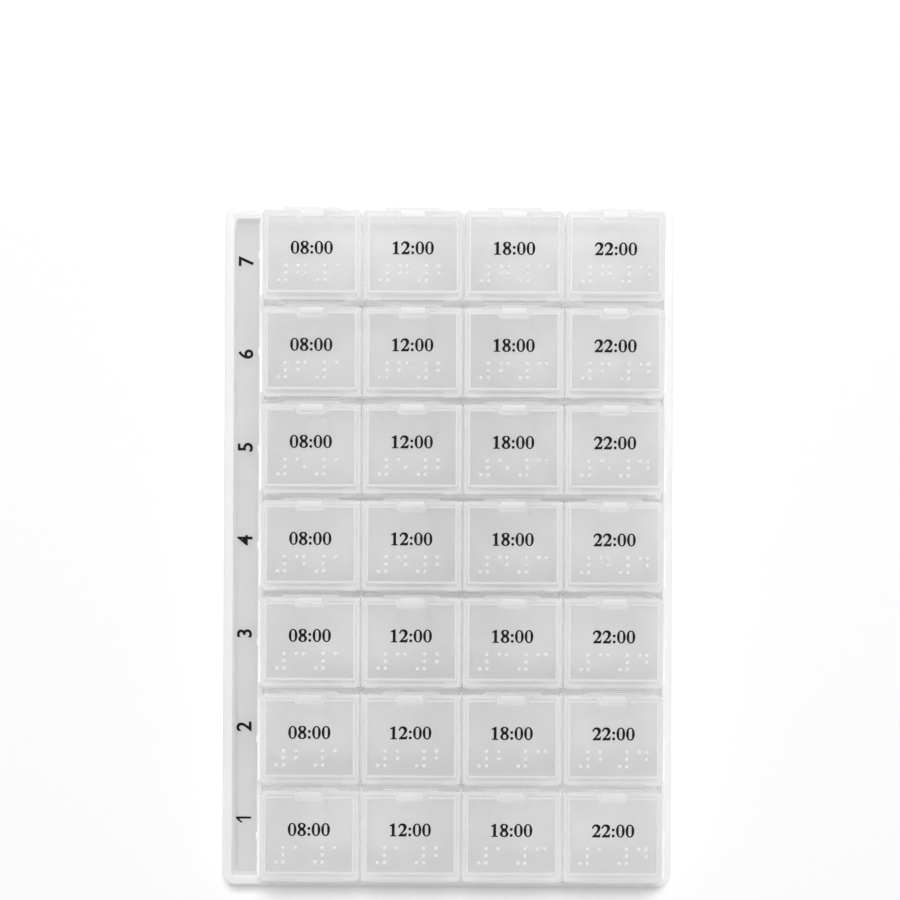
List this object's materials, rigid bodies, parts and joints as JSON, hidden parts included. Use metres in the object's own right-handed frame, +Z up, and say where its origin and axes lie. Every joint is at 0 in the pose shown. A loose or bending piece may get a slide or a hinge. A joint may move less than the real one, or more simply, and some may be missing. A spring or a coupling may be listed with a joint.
{
  "type": "pill organizer",
  "caption": "Flat weekly pill organizer: a shallow tray with a label ledge holds lift-out day boxes, each a row of cups under hinged snap lids.",
  "frame": {"origin": "on the table, under the middle of the tray's outline", "axes": "+X across, from the first dose to the last; +Y along, from the lids' hinges to their thumb tabs; +Z up, towards the lids"},
  "size_m": [0.1468, 0.2222, 0.025],
  "materials": {
    "tray_plastic": "natural polypropylene, milky and see-through, satin",
    "box_plastic": "natural polypropylene, milky and see-through, satin",
    "lid_plastic": "natural polypropylene, milky and see-through, smooth"
  },
  "bodies": {
    "tray": {"tray": "tray_plastic"},
    "day_box_1": {"day_box_1": "box_plastic"},
    "lid_day1_morning": {"lid_day1_morning": "lid_plastic"},
    "lid_day1_noon": {"lid_day1_noon": "lid_plastic"},
    "lid_day1_evening": {"lid_day1_evening": "lid_plastic"},
    "lid_day1_night": {"lid_day1_night": "lid_plastic"},
    "day_box_2": {"day_box_2": "box_plastic"},
    "lid_day2_morning": {"lid_day2_morning": "lid_plastic"},
    "lid_day2_noon": {"lid_day2_noon": "lid_plastic"},
    "lid_day2_evening": {"lid_day2_evening": "lid_plastic"},
    "lid_day2_night": {"lid_day2_night": "lid_plastic"},
    "day_box_3": {"day_box_3": "box_plastic"},
    "lid_day3_morning": {"lid_day3_morning": "lid_plastic"},
    "lid_day3_noon": {"lid_day3_noon": "lid_plastic"},
    "lid_day3_evening": {"lid_day3_evening": "lid_plastic"},
    "lid_day3_night": {"lid_day3_night": "lid_plastic"},
    "day_box_4": {"day_box_4": "box_plastic"},
    "lid_day4_morning": {"lid_day4_morning": "lid_plastic"},
    "lid_day4_noon": {"lid_day4_noon": "lid_plastic"},
    "lid_day4_evening": {"lid_day4_evening": "lid_plastic"},
    "lid_day4_night": {"lid_day4_night": "lid_plastic"},
    "day_box_5": {"day_box_5": "box_plastic"},
    "lid_day5_morning": {"lid_day5_morning": "lid_plastic"},
    "lid_day5_noon": {"lid_day5_noon": "lid_plastic"},
    "lid_day5_evening": {"lid_day5_evening": "lid_plastic"},
    "lid_day5_night": {"lid_day5_night": "lid_plastic"},
    "day_box_6": {"day_box_6": "box_plastic"},
    "lid_day6_morning": {"lid_day6_morning": "lid_plastic"},
    "lid_day6_noon": {"lid_day6_noon": "lid_plastic"},
    "lid_day6_evening": {"lid_day6_evening": "lid_plastic"},
    "lid_day6_night": {"lid_day6_night": "lid_plastic"},
    "day_box_7": {"day_box_7": "box_plastic"},
    "lid_day7_morning": {"lid_day7_morning": "lid_plastic"},
    "lid_day7_noon": {"lid_day7_noon": "lid_plastic"},
    "lid_day7_evening": {"lid_day7_evening": "lid_plastic"},
    "lid_day7_night": {"lid_day7_night": "lid_plastic"}
  },
  "joints": [
    {"name": "lift_day_1", "type": "slide", "parent": "tray", "child": "day_box_1", "axis": [0, 0, 1], "range_m": [0, 0.035]},
    {"name": "hinge_day1_morning", "type": "hinge", "parent": "day_box_1", "child": "lid_day1_morning", "pos_m": [-0.0437, -0.105, 0.0233], "axis": [1, 0, 0], "range_deg": [0, 95]},
    {"name": "hinge_day1_noon", "type": "hinge", "parent": "day_box_1", "child": "lid_day1_noon", "pos_m": [-0.0115, -0.105, 0.0233], "axis": [1, 0, 0], "range_deg": [0, 95]},
    {"name": "hinge_day1_evening", "type": "hinge", "parent": "day_box_1", "child": "lid_day1_evening", "pos_m": [0.0207, -0.105, 0.0233], "axis": [1, 0, 0], "range_deg": [0, 95]},
    {"name": "hinge_day1_night", "type": "hinge", "parent": "day_box_1", "child": "lid_day1_night", "pos_m": [0.0529, -0.105, 0.0233], "axis": [1, 0, 0], "range_deg": [0, 95]},
    {"name": "lift_day_2", "type": "slide", "parent": "tray", "child": "day_box_2", "axis": [0, 0, 1], "range_m": [0, 0.035]},
    {"name": "hinge_day2_morning", "type": "hinge", "parent": "day_box_2", "child": "lid_day2_morning", "pos_m": [-0.0437, -0.0742, 0.0233], "axis": [1, 0, 0], "range_deg": [0, 95]},
    {"name": "hinge_day2_noon", "type": "hinge", "parent": "day_box_2", "child": "lid_day2_noon", "pos_m": [-0.0115, -0.0742, 0.0233], "axis": [1, 0, 0], "range_deg": [0, 95]},
    {"name": "hinge_day2_evening", "type": "hinge", "parent": "day_box_2", "child": "lid_day2_evening", "pos_m": [0.0207, -0.0742, 0.0233], "axis": [1, 0, 0], "range_deg": [0, 95]},
    {"name": "hinge_day2_night", "type": "hinge", "parent": "day_box_2", "child": "lid_day2_night", "pos_m": [0.0529, -0.0742, 0.0233], "axis": [1, 0, 0], "range_deg": [0, 95]},
    {"name": "lift_day_3", "type": "slide", "parent": "tray", "child": "day_box_3", "axis": [0, 0, 1], "range_m": [0, 0.035]},
    {"name": "hinge_day3_morning", "type": "hinge", "parent": "day_box_3", "child": "lid_day3_morning", "pos_m": [-0.0437, -0.0434, 0.0233], "axis": [1, 0, 0], "range_deg": [0, 95]},
    {"name": "hinge_day3_noon", "type": "hinge", "parent": "day_box_3", "child": "lid_day3_noon", "pos_m": [-0.0115, -0.0434, 0.0233], "axis": [1, 0, 0], "range_deg": [0, 95]},
    {"name": "hinge_day3_evening", "type": "hinge", "parent": "day_box_3", "child": "lid_day3_evening", "pos_m": [0.0207, -0.0434, 0.0233], "axis": [1, 0, 0], "range_deg": [0, 95]},
    {"name": "hinge_day3_night", "type": "hinge", "parent": "day_box_3", "child": "lid_day3_night", "pos_m": [0.0529, -0.0434, 0.0233], "axis": [1, 0, 0], "range_deg": [0, 95]},
    {"name": "lift_day_4", "type": "slide", "parent": "tray", "child": "day_box_4", "axis": [0, 0, 1], "range_m": [0, 0.035]},
    {"name": "hinge_day4_morning", "type": "hinge", "parent": "day_box_4", "child": "lid_day4_morning", "pos_m": [-0.0437, -0.0126, 0.0233], "axis": [1, 0, 0], "range_deg": [0, 95]},
    {"name": "hinge_day4_noon", "type": "hinge", "parent": "day_box_4", "child": "lid_day4_noon", "pos_m": [-0.0115, -0.0126, 0.0233], "axis": [1, 0, 0], "range_deg": [0, 95]},
    {"name": "hinge_day4_evening", "type": "hinge", "parent": "day_box_4", "child": "lid_day4_evening", "pos_m": [0.0207, -0.0126, 0.0233], "axis": [1, 0, 0], "range_deg": [0, 95]},
    {"name": "hinge_day4_night", "type": "hinge", "parent": "day_box_4", "child": "lid_day4_night", "pos_m": [0.0529, -0.0126, 0.0233], "axis": [1, 0, 0], "range_deg": [0, 95]},
    {"name": "lift_day_5", "type": "slide", "parent": "tray", "child": "day_box_5", "axis": [0, 0, 1], "range_m": [0, 0.035]},
    {"name": "hinge_day5_morning", "type": "hinge", "parent": "day_box_5", "child": "lid_day5_morning", "pos_m": [-0.0437, 0.0182, 0.0233], "axis": [1, 0, 0], "range_deg": [0, 95]},
    {"name": "hinge_day5_noon", "type": "hinge", "parent": "day_box_5", "child": "lid_day5_noon", "pos_m": [-0.0115, 0.0182, 0.0233], "axis": [1, 0, 0], "range_deg": [0, 95]},
    {"name": "hinge_day5_evening", "type": "hinge", "parent": "day_box_5", "child": "lid_day5_evening", "pos_m": [0.0207, 0.0182, 0.0233], "axis": [1, 0, 0], "range_deg": [0, 95]},
    {"name": "hinge_day5_night", "type": "hinge", "parent": "day_box_5", "child": "lid_day5_night", "pos_m": [0.0529, 0.0182, 0.0233], "axis": [1, 0, 0], "range_deg": [0, 95]},
    {"name": "lift_day_6", "type": "slide", "parent": "tray", "child": "day_box_6", "axis": [0, 0, 1], "range_m": [0, 0.035]},
    {"name": "hinge_day6_morning", "type": "hinge", "parent": "day_box_6", "child": "lid_day6_morning", "pos_m": [-0.0437, 0.049, 0.0233], "axis": [1, 0, 0], "range_deg": [0, 95]},
    {"name": "hinge_day6_noon", "type": "hinge", "parent": "day_box_6", "child": "lid_day6_noon", "pos_m": [-0.0115, 0.049, 0.0233], "axis": [1, 0, 0], "range_deg": [0, 95]},
    {"name": "hinge_day6_evening", "type": "hinge", "parent": "day_box_6", "child": "lid_day6_evening", "pos_m": [0.0207, 0.049, 0.0233], "axis": [1, 0, 0], "range_deg": [0, 95]},
    {"name": "hinge_day6_night", "type": "hinge", "parent": "day_box_6", "child": "lid_day6_night", "pos_m": [0.0529, 0.049, 0.0233], "axis": [1, 0, 0], "range_deg": [0, 95]},
    {"name": "lift_day_7", "type": "slide", "parent": "tray", "child": "day_box_7", "axis": [0, 0, 1], "range_m": [0, 0.035]},
    {"name": "hinge_day7_morning", "type": "hinge", "parent": "day_box_7", "child": "lid_day7_morning", "pos_m": [-0.0437, 0.0798, 0.0233], "axis": [1, 0, 0], "range_deg": [0, 95]},
    {"name": "hinge_day7_noon", "type": "hinge", "parent": "day_box_7", "child": "lid_day7_noon", "pos_m": [-0.0115, 0.0798, 0.0233], "axis": [1, 0, 0], "range_deg": [0, 95]},
    {"name": "hinge_day7_evening", "type": "hinge", "parent": "day_box_7", "child": "lid_day7_evening", "pos_m": [0.0207, 0.0798, 0.0233], "axis": [1, 0, 0], "range_deg": [0, 95]},
    {"name": "hinge_day7_night", "type": "hinge", "parent": "day_box_7", "child": "lid_day7_night", "pos_m": [0.0529, 0.0798, 0.0233], "axis": [1, 0, 0], "range_deg": [0, 95]}
  ]
}
